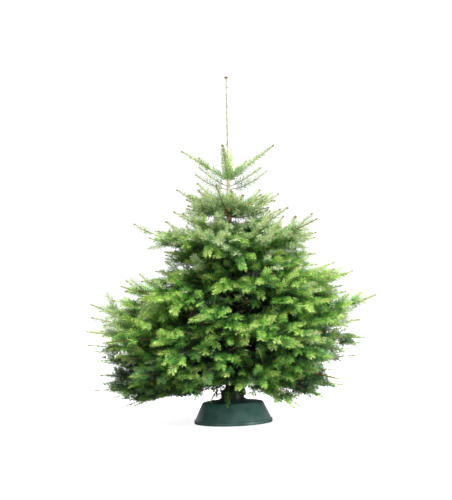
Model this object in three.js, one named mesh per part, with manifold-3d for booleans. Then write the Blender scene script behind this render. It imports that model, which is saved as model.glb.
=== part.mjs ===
// A cut Nordmann fir, 1.81 m tall, held in a moulded plastic tree stand.
// The trunk runs whole from its flat cut to the tip of the leader. Boughs leave it in whorls, and each one
// carries a flat, uneven fan of foliage that is cut round the trunk, the boughs and the fans beside it.
// Frame: millimetres, +Z up, origin at the centre of the stand's flat underside.
import * as THREE from 'three';
import { mergeVertices } from 'three/addons/utils/BufferGeometryUtils.js';
import Module from 'manifold-3d';

const wasm = await Module();
wasm.setup();

// ---------------------------------------------------------------- driving dimensions, mm and degrees
const CLEARANCE = 0.3; // gap between pieces that touch
const FAN_GAP = 11; // air left between a fan and the next one
const SHOOT_GAP = 1; // the same between the young shoots at the top, which crowd together at their feet
const FAN_TOLERANCE = 3.5; // how far a fan's faces may move when the slivers of its cuts are tidied away
const SHOOT_TOLERANCE = 0.4; // the same for those young shoots
const PLAIN_TOLERANCE = 0.02; // the same for a finished solid

const STAND = {
  footRadius: 200, // outside of the bottom flange
  flangeHeight: 17,
  flangeStep: 7,
  shoulderRadius: 155,
  shoulderHeight: 105,
  deckRise: 11, // the deck climbs this much from the shoulder to the well
  wall: 4,
  wellRadius: 56,
  floor: 6,
  sides: 32,
};

const CLAMP = {
  baseRadius: 68,
  baseHeight: 5,
  ringRadius: 60,
  bore: 51,
  height: 46,
  lipRadius: 64,
  lipHeight: 6,
  screws: 3,
  screwRadius: 4,
  screwHeight: 26, // above the deck
  screwReach: 86,
  handleLength: 34,
  handleRadius: 4,
  turn: 40, // azimuth of the first screw
};

const TRUNK = {
  cutHeight: STAND.floor + CLEARANCE,
  tip: 1810,
  lean: 0.78, // degrees from upright, towards +X
  footRadius: 40,
  collarRadius: 37, // above the stand
  crownRadius: 33, // at the lowest whorl
  whorlRadius: 9, // just under the top whorl
  leaderRadius: 4.2,
  tipRadius: 2.3,
  budRadius: 6,
  budLength: 16,
  sides: 16,
};

// Sizes towards the four sides of the tree, in the order right (+X), back (+Y), left (-X) and front (-Y).
const round4 = (right, back, left, front) => [right, back, left, front];

// The whorls from the top down. Boughs leave the trunk axis at height, at each azimuth, counted from +X
// towards +Y. A bough goes out by reach while its tip climbs by rise, and its middle lies bow times its
// reach above the straight line. Where a whorl has shares, they scale its boughs one by one. Foliage fills
// a fan of half-angle spread from the share start of the reach to the tip. It is depth thick above and below
// its middle, which hangs below the bough by hang at the trunk and meets it at the tip.
const WHORLS = [
  {
    name: 'top_shoot', height: 1251, azimuths: [0, 44, 84, 180, 264], limbRadius: 0,
    reach: round4(240, 200, 234, 215), rise: round4(172, 198, 157, 138), bow: 0,
    shares: [1, 0.6, 1, 1, 1], spread: 8, depth: 16, hang: 0, start: 0, rings: 5, sides: 6,
  },
  {
    name: 'internode_shoot', height: 1199, azimuths: [4, 178], limbRadius: 0,
    reach: round4(202, 190, 168, 180), rise: round4(92, 70, 86, 70), bow: -0.1,
    spread: 12, depth: 14, hang: 0, start: 0, rings: 5, sides: 6,
  },
  {
    name: 'upper', height: 1072, azimuths: [12, 100, 186, 256], limbRadius: 5,
    reach: round4(268, 250, 264, 235), rise: round4(102, 80, 128, 110), bow: -0.05,
    spread: 40, depth: 52, hang: 16, start: 0.04, rings: 6, sides: 7,
  },
  {
    name: 'shoulder', height: 876, azimuths: [338, 66, 164, 252], limbRadius: 8,
    reach: round4(480, 440, 512, 410), rise: round4(148, 90, 148, 30), bow: -0.05,
    shares: [1, 1, 0.85, 1], spread: 41, depth: 100, hang: 40, start: 0.04, rings: 6, sides: 7,
  },
  {
    name: 'middle', height: 696, azimuths: [22, 108, 202, 292], limbRadius: 9,
    reach: round4(668, 590, 590, 520), rise: round4(92, 60, 6, 4), bow: -0.09,
    spread: 41, depth: 104, hang: 10, start: 0.04, rings: 6, sides: 7,
  },
  {
    name: 'wide', height: 524, azimuths: [352, 76, 172, 258], limbRadius: 10,
    reach: round4(740, 690, 748, 590), rise: round4(98, 60, 104, 10), bow: -0.07,
    spread: 40, depth: 90, hang: 10, start: 0.04, rings: 6, sides: 7,
  },
  {
    name: 'low', height: 388, azimuths: [8, 84, 146, 212, 296], limbRadius: 11,
    reach: round4(705, 700, 760, 610), rise: round4(16, 30, 64, -10), bow: 0.02,
    spread: 32, depth: 82, hang: 14, start: 0.04, rings: 6, sides: 7,
  },
  {
    name: 'bottom', height: 266, azimuths: [340, 64, 170, 256], limbRadius: 11,
    reach: round4(575, 600, 690, 530), rise: round4(-66, -50, -62, -10), bow: 0.04,
    spread: 40, depth: 80, hang: 34, start: 0.08, rings: 6, sides: 7,
  },
];
const ARCH = 0.06; // how much more the boughs towards the front and back bow upwards
const ARCH_TOP = 900; // only the whorls below this height do so
const LIMB_SHARE = 0.34; // a bough solid ends at this share of its reach, inside its fan
const LIMB_TAPER = 0.6; // its radius there, as a share of its radius at the trunk
const LIMB_SIDES = 6;
const LIMB_STEPS = 2;

// ---------------------------------------------------------------- materials
const finish = (color, roughness) => new THREE.MeshStandardMaterial({ color, roughness, metalness: 0 });
const BARK = finish(0x6a5a48, 0.9);
const FOLIAGE = finish(0x4a7a28, 0.6);
const YOUNG_FOLIAGE = finish(0x8aa860, 0.6);
const STAND_PLASTIC = finish(0x1f4a44, 0.4);
const CLAMP_PLASTIC = finish(0x15201f, 0.5);

// ---------------------------------------------------------------- solids
/** A closed geometry as a manifold-3d solid, with its vertices merged. */
function solidOf(geometry) {
  const bare = geometry.index ? geometry.toNonIndexed() : geometry.clone();
  bare.deleteAttribute('normal');
  bare.deleteAttribute('uv');
  const merged = mergeVertices(bare, 1e-3);
  return new wasm.Manifold(new wasm.Mesh({
    numProp: 3,
    vertProperties: merged.attributes.position.array,
    triVerts: new Uint32Array(merged.index.array),
  }));
}

/** The largest body of a solid, because a cut can leave crumbs. */
function largestBody(solid) {
  return solid.decompose().sort((a, b) => b.volume() - a.volume())[0];
}

/** A solid back as a geometry, with the slivers of its cuts tidied away. */
function geometryOf(solid) {
  const mesh = largestBody(solid).simplify(PLAIN_TOLERANCE).getMesh();
  const geometry = new THREE.BufferGeometry();
  geometry.setAttribute('position', new THREE.BufferAttribute(mesh.vertProperties, 3));
  geometry.setIndex(new THREE.BufferAttribute(mesh.triVerts, 1));
  geometry.computeVertexNormals();
  return geometry;
}

/** Moves every vertex of a geometry to where place(vertex) says. */
function reshape(geometry, place) {
  const position = geometry.attributes.position;
  const point = new THREE.Vector3();
  for (let i = 0; i < position.count; i++) {
    point.fromBufferAttribute(position, i);
    position.setXYZ(i, ...place(point).toArray());
  }
  return geometry;
}

/** A profile of [radius, height] pairs turned round the Z axis. */
function turned(profile, sides) {
  const points = profile.map(([radius, height]) => new THREE.Vector2(radius, height));
  return new THREE.LatheGeometry(points, sides).rotateX(Math.PI / 2);
}

/** True where two solids' boxes meet, so that a cut is worth making. */
function boxesMeet(a, b) {
  const p = a.boundingBox();
  const q = b.boundingBox();
  return [0, 1, 2].every((k) => p.min[k] < q.max[k] && q.min[k] < p.max[k]);
}

// ---------------------------------------------------------------- trunk
/** The trunk's axis at a height: straight, and leaning a little towards +X. */
function trunkAxis(height) {
  return new THREE.Vector3(height * Math.tan(THREE.MathUtils.degToRad(TRUNK.lean)), 0, height);
}

/** The trunk from its flat cut to the bud on its leader, grown by swell all round. */
function trunkGeometry(swell = 0) {
  const topWhorl = WHORLS[0].height;
  const lowWhorl = WHORLS.at(-1).height;
  const stations = [
    [TRUNK.footRadius, TRUNK.cutHeight - swell],
    [TRUNK.collarRadius, STAND.shoulderHeight],
    [TRUNK.crownRadius + 4, lowWhorl - 30],
    [TRUNK.crownRadius, lowWhorl + 40],
  ];
  const steps = 6;
  for (let i = 1; i <= steps; i++) {
    const share = i / steps;
    stations.push([
      THREE.MathUtils.lerp(TRUNK.crownRadius, TRUNK.whorlRadius, share),
      THREE.MathUtils.lerp(lowWhorl + 40, topWhorl - 12, share),
    ]);
  }
  stations.push(
    [TRUNK.leaderRadius, topWhorl + 14],
    [TRUNK.tipRadius, TRUNK.tip - TRUNK.budLength],
    [TRUNK.budRadius, TRUNK.tip - 0.55 * TRUNK.budLength],
  );
  const profile = [[0, stations[0][1]]];
  stations.forEach(([radius, height]) => profile.push([radius + swell, height]));
  profile.push([0, TRUNK.tip + swell]);
  return reshape(turned(profile, TRUNK.sides), (p) => p.add(trunkAxis(p.z).setZ(0)));
}

// ---------------------------------------------------------------- stand
/** The moulded stand: skirt, deck and the well that the cut end stands in, one wall thick, open below. */
function standGeometry() {
  const { footRadius, flangeHeight, flangeStep, shoulderRadius, shoulderHeight, wall } = STAND;
  const deck = shoulderHeight + STAND.deckRise;
  const skirtFoot = footRadius - flangeStep;
  return turned([
    [0, 0],
    [STAND.wellRadius + wall, 0],
    [STAND.wellRadius + wall, deck - wall],
    [shoulderRadius - wall, shoulderHeight - wall - 3],
    [skirtFoot - wall - 2, flangeHeight + 2],
    [skirtFoot - wall, 0],
    [footRadius, 0],
    [footRadius, flangeHeight - 2],
    [footRadius - 2, flangeHeight],
    [skirtFoot, flangeHeight + 2],
    [shoulderRadius + 3, shoulderHeight - 6],
    [shoulderRadius - 4, shoulderHeight],
    [STAND.wellRadius + 12, deck],
    [STAND.wellRadius, deck - 1],
    [STAND.wellRadius, STAND.floor],
    [0, STAND.floor],
  ], STAND.sides);
}

/** The clamp ring on the deck, with its screws run in to the trunk, as one solid. */
function clampSolid(trunkCut) {
  const deck = STAND.shoulderHeight + STAND.deckRise;
  const foot = deck + CLEARANCE;
  const top = deck + CLAMP.height;
  const ring = solidOf(turned([
    [CLAMP.bore, foot],
    [CLAMP.baseRadius - 1, foot],
    [CLAMP.baseRadius - 1, foot + CLAMP.baseHeight],
    [CLAMP.ringRadius, foot + CLAMP.baseHeight + 3],
    [CLAMP.ringRadius, top - CLAMP.lipHeight],
    [CLAMP.lipRadius, top - CLAMP.lipHeight + 1],
    [CLAMP.lipRadius, top],
    [CLAMP.bore, top],
    [CLAMP.bore, foot],
  ], 20));
  let clamp = ring;
  const height = deck + CLAMP.screwHeight;
  const inner = TRUNK.collarRadius - 10; // cut back to the bark below
  for (let i = 0; i < CLAMP.screws; i++) {
    const azimuth = THREE.MathUtils.degToRad(CLAMP.turn + (i * 360) / CLAMP.screws);
    const outward = new THREE.Vector3(Math.cos(azimuth), Math.sin(azimuth), 0);
    const towards = new THREE.Quaternion().setFromUnitVectors(new THREE.Vector3(0, 1, 0), outward);
    const shank = new THREE.CylinderGeometry(CLAMP.screwRadius, CLAMP.screwRadius, CLAMP.screwReach - inner, 6)
      .applyQuaternion(towards)
      .translate(...outward.clone().multiplyScalar((CLAMP.screwReach + inner) / 2).setZ(height).toArray());
    const handle = new THREE.CylinderGeometry(CLAMP.handleRadius, CLAMP.handleRadius, CLAMP.handleLength, 6)
      .rotateX(Math.PI / 2)
      .translate(...outward.clone().multiplyScalar(CLAMP.screwReach).setZ(height).toArray());
    clamp = clamp.add(solidOf(shank)).add(solidOf(handle));
  }
  return clamp.subtract(trunkCut);
}

// ---------------------------------------------------------------- boughs and fans
/** A size given for the four sides, read at any azimuth: it goes smoothly from one side to the next. */
function atAzimuth(sides, degrees) {
  const turn = (((degrees % 360) + 360) % 360) / 90;
  const from = Math.floor(turn) % 4;
  const share = THREE.MathUtils.smoothstep(turn - Math.floor(turn), 0, 1);
  return THREE.MathUtils.lerp(sides[from], sides[(from + 1) % 4], share);
}

/** The centreline of a bough, from the trunk's axis to its tip. */
function boughCurve(whorl, azimuth) {
  const angle = THREE.MathUtils.degToRad(azimuth);
  const outward = new THREE.Vector3(Math.cos(angle), Math.sin(angle), 0);
  const share = whorl.shares?.[whorl.azimuths.indexOf(azimuth)] ?? 1;
  const reach = atAzimuth(whorl.reach, azimuth) * share;
  const rise = atAzimuth(whorl.rise, azimuth) * share;
  const bow = whorl.bow + (whorl.height < ARCH_TOP ? ARCH * outward.y ** 2 : 0);
  const from = trunkAxis(whorl.height);
  const to = from.clone().addScaledVector(outward, reach);
  to.z += rise;
  const middle = from.clone().add(to).multiplyScalar(0.5);
  middle.z += 2 * bow * reach;
  return { curve: new THREE.QuadraticBezierCurve3(from, middle, to), outward, reach };
}

/** A tapering limb along the first LIMB_SHARE of a bough, grown by swell all round. */
function limbGeometry(whorl, azimuth, swell = 0) {
  const { curve, outward } = boughCurve(whorl, azimuth);
  const across = new THREE.Vector3(-outward.y, outward.x, 0);
  const end = LIMB_SHARE + swell / 1000;
  const tube = new THREE.CylinderGeometry(1, 1, 1, LIMB_SIDES, LIMB_STEPS);
  return reshape(tube, (p) => {
    const share = p.y + 0.5;
    const tangent = curve.getTangent(share * end);
    const up = new THREE.Vector3().crossVectors(tangent, across);
    const radius = whorl.limbRadius * THREE.MathUtils.lerp(1, LIMB_TAPER, share) + swell;
    return curve.getPoint(share * end)
      .addScaledVector(across, -p.x * radius)
      .addScaledVector(up, p.z * radius);
  });
}

/** Lumps in a fan's outline: whole turns round its section, so that the surface closes on itself. */
function lump(along, round, phase) {
  return 1 + 0.15 * Math.sin(2 * round + 8 * along + phase) + 0.1 * Math.sin(round - 12 * along + 2 * phase);
}

/** The fan of foliage on a bough: a sphere drawn out along it, wide and flat, lumpy, and swept to a tip. */
function fanGeometry(whorl, azimuth, phase, swell = 0) {
  const { curve, outward, reach } = boughCurve(whorl, azimuth);
  const across = new THREE.Vector3(-outward.y, outward.x, 0);
  const widest = reach * Math.tan(THREE.MathUtils.degToRad(whorl.spread)) * 0.8;
  const ball = new THREE.SphereGeometry(1, whorl.sides, whorl.rings);
  return reshape(ball, (p) => {
    const along = (1 - p.y) / 2;
    const round = Math.atan2(p.z, p.x);
    const girth = Math.sqrt(Math.max(0, 1 - p.y * p.y));
    const section = Math.hypot(p.x, p.z) || 1;
    const lumps = lump(along, round, phase);
    const width = widest * girth * (0.85 + 0.3 * along) * lumps + swell;
    const depth = whorl.depth * girth * (1.25 - 0.45 * along) * lumps + swell;
    const share = whorl.start + (1 - whorl.start) * along;
    const tangent = curve.getTangent(share);
    const up = new THREE.Vector3().crossVectors(tangent, across);
    return curve.getPoint(share)
      .add(new THREE.Vector3(0, 0, -whorl.hang * (1 - along)))
      .addScaledVector(across, (p.x / section) * width * Math.sign(girth))
      .addScaledVector(up, (p.z / section) * depth * Math.sign(girth))
      .addScaledVector(tangent, -p.y * swell);
  });
}

// ---------------------------------------------------------------- the tree
const tree = new THREE.Group();

/** Adds one named solid to the tree. */
function addNode(name, solid, material) {
  const mesh = new THREE.Mesh(geometryOf(solid), material);
  mesh.name = name;
  tree.add(mesh);
}

const trunkCut = solidOf(trunkGeometry(CLEARANCE));
addNode('trunk', solidOf(trunkGeometry()), BARK);
addNode('stand_body', solidOf(standGeometry()), STAND_PLASTIC);
addNode('stand_clamp', clampSolid(trunkCut), CLAMP_PLASTIC);

const limbCuts = [];
const fans = [];
WHORLS.forEach((whorl, tier) => {
  whorl.azimuths.forEach((azimuth, i) => {
    const label = `${whorl.name}_${i + 1}`;
    if (whorl.limbRadius > 0) {
      addNode(`bough_${label}`, solidOf(limbGeometry(whorl, azimuth)).subtract(trunkCut), BARK);
      limbCuts.push(solidOf(limbGeometry(whorl, azimuth, CLEARANCE)));
    }
    fans.push({ label, whorl, azimuth, phase: 1.7 * i + 0.9 * tier });
  });
});

/** A solid with every cutter whose box meets its own taken away. */
function cutBy(solid, cutters) {
  return cutters.filter((cutter) => boxesMeet(solid, cutter)).reduce((left, cutter) => left.subtract(cutter), solid);
}

// Each fan is cut back from the fans placed before it, then round the trunk and every bough.
const placed = [];
fans.forEach(({ label, whorl, azimuth, phase }) => {
  const clear = cutBy(solidOf(fanGeometry(whorl, azimuth, phase)), placed);
  const young = whorl.limbRadius === 0;
  const [gap, tolerance] = young ? [SHOOT_GAP, SHOOT_TOLERANCE] : [FAN_GAP, FAN_TOLERANCE];
  const solid = cutBy(largestBody(clear).simplify(tolerance), [trunkCut, ...limbCuts]);
  placed.push(solidOf(fanGeometry(whorl, azimuth, phase, gap)));
  addNode(young ? label : `foliage_${label}`, solid, young ? YOUNG_FOLIAGE : FOLIAGE);
});

export default tree;
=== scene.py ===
"""Looks for a cut Nordmann fir in a moulded plastic stand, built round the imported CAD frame.

The trunk and boughs get bark in relief. Each mass of foliage is replaced by twigs, needles and buds that a
seeded branching rule grows on from its bough. The stand and its clamp get their rounded mouldings.
Everything is in metres, in the frame of the CAD model: +Z up, -Y towards the front.
"""
import sys
import logging
import math
from dataclasses import dataclass, field, fields
from enum import Enum, IntEnum

import bpy
import numpy as np
from mathutils import Matrix, Vector


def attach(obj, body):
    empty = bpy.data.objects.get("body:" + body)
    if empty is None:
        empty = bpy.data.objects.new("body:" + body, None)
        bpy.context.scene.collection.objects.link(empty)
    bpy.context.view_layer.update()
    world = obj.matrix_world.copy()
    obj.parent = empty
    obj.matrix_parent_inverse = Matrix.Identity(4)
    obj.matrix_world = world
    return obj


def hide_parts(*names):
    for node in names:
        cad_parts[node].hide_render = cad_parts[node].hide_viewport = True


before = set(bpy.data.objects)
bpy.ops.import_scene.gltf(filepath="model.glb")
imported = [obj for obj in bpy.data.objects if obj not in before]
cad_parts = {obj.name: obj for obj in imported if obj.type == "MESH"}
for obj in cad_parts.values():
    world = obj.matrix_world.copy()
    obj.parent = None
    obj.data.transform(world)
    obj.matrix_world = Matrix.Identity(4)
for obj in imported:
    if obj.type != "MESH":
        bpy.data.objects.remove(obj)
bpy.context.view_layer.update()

LOG = logging.getLogger("fir")
MM = 0.001
UP = np.array([0.0, 0.0, 1.0])
SEED = 7
PIECE_LIMIT = 190_000  # triangles
Pairs = tuple[tuple[float, float], ...]  # places in rising order, each with its value


# ---------------------------------------------------------------- small helpers
def unit(v: np.ndarray) -> np.ndarray:
    """Vectors scaled to length one, along the last axis."""
    return v / np.maximum(np.linalg.norm(v, axis=-1, keepdims=True), 1e-9)


def read(pairs: Pairs, at: np.ndarray | float) -> np.ndarray:
    """The value at a place, or at each of many, straight from pair to pair."""
    return np.interp(at, *zip(*pairs))


def curve(start: np.ndarray, control: np.ndarray, end: np.ndarray, t: np.ndarray | float) -> np.ndarray:
    """The quadratic curve (1-t)^2 start + 2t(1-t) control + t^2 end."""
    return (1 - t) ** 2 * start + 2 * t * (1 - t) * control + t * t * end


def slope(start: np.ndarray, control: np.ndarray, end: np.ndarray, t: np.ndarray | float) -> np.ndarray:
    """The direction of that curve, (1-t)(control - start) + t(end - control), made of length one."""
    return unit((1 - t) * (control - start) + t * (end - control))


def angles(count: int) -> np.ndarray:
    """The angles of equal steps once round a circle, in radians."""
    return np.linspace(0, 2 * math.pi, count, endpoint=False)


def level(degrees: float) -> np.ndarray:
    """The level direction at an azimuth: (cos a, sin a, 0)."""
    return np.array([math.cos(math.radians(degrees)), math.sin(math.radians(degrees)), 0.0])


def circle(up: np.ndarray, side: np.ndarray, turn: np.ndarray) -> np.ndarray:
    """The directions round a stem: up cos a + side sin a for each angle a, as an array (..., angles, 3)."""
    return up[..., None, :] * np.cos(turn)[:, None] + side[..., None, :] * np.sin(turn)[:, None]


def spun(radius: np.ndarray, height: np.ndarray, turn: np.ndarray) -> np.ndarray:
    """The points (r cos a, r sin a, z) for each row's radius and height and each angle a."""
    return np.stack([radius * np.cos(turn), radius * np.sin(turn), height + 0 * turn], -1)


def srgb(code: str) -> tuple[float, float, float, float]:
    """A hex colour such as "#3a5f22" as linear RGBA.

    Args:
        code: The sRGB colour, with its hash.

    Returns:
        Linear red, green, blue and an alpha of one.
    """
    parts = [int(code[i : i + 2], 16) / 255 for i in (1, 3, 5)]
    linear = [c / 12.92 if c <= 0.04045 else ((c + 0.055) / 1.055) ** 2.4 for c in parts]
    return (*linear, 1.0)


def add_node(
    tree: bpy.types.NodeTree, kind: str, settings: dict | None = None,
    stops: tuple[tuple[float, str], ...] = (), **links: object,
) -> bpy.types.Node:
    """Adds a shader node with its settings and its inputs.

    Args:
        tree: The node tree to add to.
        kind: The node's type name after its ShaderNode.
        settings: Properties of the node by name.
        stops: For a colour ramp, two or more places in rising order with their hex colours.
        **links: Inputs by name, with underscores for spaces, or _0, _1 by place. Each is an output socket
            to link, or a value.

    Returns:
        The new node.
    """
    node = tree.nodes.new(f"ShaderNode{kind}")
    for name, value in (settings or {}).items():
        setattr(node, name, value)
    for _ in stops[2:]:
        node.color_ramp.elements.new(0.5)
    for k, (place, code) in enumerate(stops):
        node.color_ramp.elements[k].position = place
        node.color_ramp.elements[k].color = srgb(code)
    for name, value in links.items():
        key = int(name[1:]) if name[0] == "_" else name.replace("_", " ")
        if isinstance(value, bpy.types.NodeSocket):
            tree.links.new(value, node.inputs[key])
        else:
            node.inputs[key].default_value = value
    return node


def patches(
    tree: bpy.types.NodeTree, size: float, detail: float, stretch: float = 1.0
) -> bpy.types.NodeSocket:
    """Soft patches of a real size, on the object's own coordinates.

    Args:
        tree: The node tree to add to.
        size: Their width in millimetres.
        detail: How many finer layers they have.
        stretch: How many times longer they are along Z.

    Returns:
        A value from 0 to 1.
    """
    place = add_node(tree, "TexCoord")
    scaled = add_node(tree, "Mapping", Vector=place.outputs["Object"], Scale=(1, 1, 1 / stretch))
    clouds = add_node(tree, "TexNoise", Vector=scaled.outputs[0], Scale=1 / (size * MM), Detail=detail)
    return clouds.outputs["Fac"]


# ---------------------------------------------------------------- meshes
@dataclass
class Surface:
    """Triangles as whole arrays: points (n, 3), faces (m, 3) and a material number for each face."""

    points: np.ndarray
    faces: np.ndarray
    tones: np.ndarray | None = None

    def __post_init__(self) -> None:
        """Flattens the arrays. Every face has the first material if none is told."""
        self.points, self.faces = self.points.reshape(-1, 3), self.faces.reshape(-1, 3)
        self.tones = np.zeros(len(self.faces), int) if self.tones is None else self.tones.reshape(-1)

    @staticmethod
    def joined(parts: list["Surface"]) -> "Surface":
        """Puts several surfaces together, with their face numbers moved along."""
        offsets = np.cumsum([0] + [len(p.points) for p in parts[:-1]])
        return Surface(
            np.concatenate([p.points for p in parts]),
            np.concatenate([p.faces + k for p, k in zip(parts, offsets)]),
            np.concatenate([p.tones for p in parts]),
        )


@dataclass(frozen=True)
class Piece:
    """What a finished piece is called, a slot name that nothing uses, and which CAD nodes it stands for."""

    name: str
    slot: str
    stands_for: tuple[str, ...] = ()
    smooth: bool = True

    def make(self, surface: Surface, materials: list[bpy.types.Material]) -> None:
        """Puts a surface into the scene, riding on the tree's only body.

        Args:
            surface: The piece's triangles.
            materials: Its materials, in the order of the surface's tones.
        """
        mesh = bpy.data.meshes.new(self.name)
        mesh.vertices.add(len(surface.points))
        mesh.vertices.foreach_set("co", surface.points.astype(np.float32).ravel())
        mesh.loops.add(surface.faces.size)
        mesh.loops.foreach_set("vertex_index", surface.faces.astype(np.int32).ravel())
        mesh.polygons.add(len(surface.faces))
        mesh.polygons.foreach_set("loop_start", np.arange(0, surface.faces.size, 3, dtype=np.int32))
        for material in materials:
            mesh.materials.append(material)
        mesh.polygons.foreach_set("material_index", surface.tones.astype(np.int32))
        mesh.polygons.foreach_set("use_smooth", np.full(len(surface.faces), self.smooth))
        mesh.update(calc_edges=True)
        mesh.validate()
        made = bpy.data.objects.new(self.name, mesh)
        bpy.context.scene.collection.objects.link(made)
        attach(made, "root")
        if self.stands_for:
            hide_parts(*self.stands_for)
        LOG.info("%s: %d triangles", self.name, len(surface.faces))


def grid_faces(rows: int, columns: int) -> np.ndarray:
    """Triangles of a grid that closes on itself across the columns. Point (i, j) is number i * columns + j.

    Args:
        rows: How many rows of points it has.
        columns: Points in each row.

    Returns:
        Faces that look outwards when the columns turn anticlockwise about the direction of the rows.
    """
    i, j = np.meshgrid(np.arange(rows - 1), np.arange(columns), indexing="ij")
    k = (j + 1) % columns
    a, b, c, d = i * columns + j, i * columns + k, (i + 1) * columns + k, (i + 1) * columns + j
    return np.concatenate([np.stack([a, b, c], -1).reshape(-1, 3), np.stack([a, c, d], -1).reshape(-1, 3)])


def capped_tube(rows: int, columns: int) -> np.ndarray:
    """Triangles of a tube whose first and last rings are closed by flat fans.

    Args:
        rows: How many rings it has.
        columns: Points in each ring.

    Returns:
        Its faces.
    """
    k = np.arange(1, columns - 1)
    top = (rows - 1) * columns
    foot = np.stack([0 * k, k + 1, k], -1)
    head = np.stack([top + 0 * k, top + k, top + k + 1], -1)
    return np.concatenate([grid_faces(rows, columns), foot, head])


def copies(shape: np.ndarray, count: int, size: int) -> np.ndarray:
    """The faces of count copies of a shape, each of which has size points, one after another."""
    return shape[None] + size * np.arange(count)[:, None, None]


def closed_tube(grid: np.ndarray) -> Surface:
    """A tube from a grid of points (rows, columns, 3), with a fan over each end.

    Args:
        grid: Rings of points, anticlockwise about the direction in which the rows run.

    Returns:
        The closed surface. Its two last points are the middles of the first and last rings.
    """
    rows, columns = grid.shape[:2]
    points = np.concatenate([grid.reshape(-1, 3), grid[0].mean(0)[None], grid[-1].mean(0)[None]])
    j = np.arange(columns)
    k = (j + 1) % columns
    top = (rows - 1) * columns
    first = np.stack([np.full(columns, rows * columns), k, j], -1)
    last = np.stack([np.full(columns, rows * columns + 1), top + j, top + k], -1)
    return Surface(points, np.concatenate([grid_faces(rows, columns), first, last]))


def turned(profile: np.ndarray, sides: int) -> Surface:
    """A closed outline, anticlockwise and clear of the axis, turned round Z: (r cos a, r sin a, z)."""
    points = spun(profile[:, :1], profile[:, 1:], angles(sides))
    return Surface(points, grid_faces(len(profile) + 1, sides) % (len(profile) * sides))


def rounded(corners: tuple[tuple[float, float, float], ...], steps: int = 5) -> np.ndarray:
    """A closed outline whose every corner is rounded by a quadratic curve between its touching points.

    Args:
        corners: Radius from the axis, height and rounding radius of each corner, in millimetres.
        steps: Points on each curve.

    Returns:
        The outline's points in metres.
    """
    points = np.array([c[:2] for c in corners])
    t = np.linspace(0, 1, steps)[:, None]
    outline = []
    for i, (x, z, r) in enumerate(corners):
        here = np.array([x, z])
        if r == 0:
            outline.append(here)
            continue
        back, ahead = unit(points[i - 1] - here), unit(points[(i + 1) % len(corners)] - here)
        half = math.acos(np.clip(back @ ahead, -1, 1)) / 2
        cut = r / max(math.tan(half), 0.05)
        outline.extend(curve(here + back * cut, here, here + ahead * cut, t))
    return np.array(outline) * MM


# ---------------------------------------------------------------- finishes
@dataclass(frozen=True)
class Finish:
    """A material with one Principled shader, whose inputs each kind of finish works out for itself."""

    name: str

    def inputs(self, tree: bpy.types.NodeTree) -> dict[str, object]:
        """The shader's inputs by name."""
        raise NotImplementedError

    def material(self) -> bpy.types.Material:
        """Makes the material.

        Returns:
            The material, with its shader linked to its output.
        """
        material = bpy.data.materials.new(self.name)
        material.use_nodes = True
        tree = material.node_tree
        tree.nodes.clear()
        shader = add_node(tree, "BsdfPrincipled", **self.inputs(tree))
        add_node(tree, "OutputMaterial", Surface=shader.outputs[0])
        return material


@dataclass(frozen=True)
class PlainFinish(Finish):
    """One plain colour with a soft waxy gloss, dealt out to needles, twigs and buds by spray and age."""

    colour: str
    roughness: float

    def inputs(self, tree: bpy.types.NodeTree) -> dict[str, object]:
        """The base colour, the roughness, and the IOR of a leaf's wax."""
        return dict(Base_Color=srgb(self.colour), Roughness=self.roughness, IOR=1.45)


@dataclass(frozen=True)
class BarkFinish(Finish):
    """Fir bark: grey-brown and cracked on old wood, smooth and tan or cream on young wood."""

    stops: tuple[tuple[float, str], ...]
    along: tuple[float, float, float] = (0, 0, 1)
    span: float = 1.81  # metres that the colours are spread over
    patch: float = 26.0  # mm
    crack: float = 5.0  # mm
    crack_stretch: float = 2.6
    crack_depth: float = 1.2  # mm
    bloom: tuple[tuple[float, str], ...] = ((0.42, "#6f675c"), (0.66, "#c9c3b4"))
    shadow: tuple[tuple[float, str], ...] = ((0.36, "#6d6258"), (0.5, "#ffffff"))

    def inputs(self, tree: bpy.types.NodeTree) -> dict[str, object]:
        """Colour by place and by patches of grey bloom, with cracks sunk and darkened by stretched noise.

        On the trunk the place is the height, which gives the eye a rough dark trunk low down, partly old
        bark and partly painted shade under the crown, and a smooth near-white one under the leader, partly
        young bark and partly a painted highlight. On the boughs it is the distance from the trunk, and they
        turn tan outwards.

        Args:
            tree: The node tree to add to.

        Returns:
            The shader's inputs by name.
        """
        here = add_node(tree, "TexCoord").outputs["Object"]
        kept = add_node(tree, "VectorMath", {"operation": "MULTIPLY"}, _0=here, _1=self.along)
        away = add_node(tree, "VectorMath", {"operation": "LENGTH"}, _0=kept.outputs[0])
        share = add_node(tree, "Math", {"operation": "DIVIDE"}, _0=away.outputs["Value"], _1=self.span)
        base = add_node(tree, "ValToRGB", stops=self.stops, Fac=share.outputs[0])
        bloom = add_node(tree, "ValToRGB", stops=self.bloom, Fac=patches(tree, self.patch, 4))
        toned = add_node(
            tree, "Mix", {"data_type": "RGBA", "blend_type": "SOFT_LIGHT"},
            _0=0.75, _6=base.outputs[0], _7=bloom.outputs[0],
        )
        cracks = patches(tree, self.crack, 5, self.crack_stretch)
        dark = add_node(tree, "ValToRGB", stops=self.shadow, Fac=cracks)
        cracked = add_node(
            tree, "Mix", {"data_type": "RGBA", "blend_type": "MULTIPLY"},
            _0=0.7, _6=toned.outputs[2], _7=dark.outputs[0],
        )
        bump = add_node(tree, "Bump", Strength=0.6, Distance=self.crack_depth * MM, Height=cracks)
        return dict(Base_Color=cracked.outputs[2], Roughness=0.82, Normal=bump.outputs[0])


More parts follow.
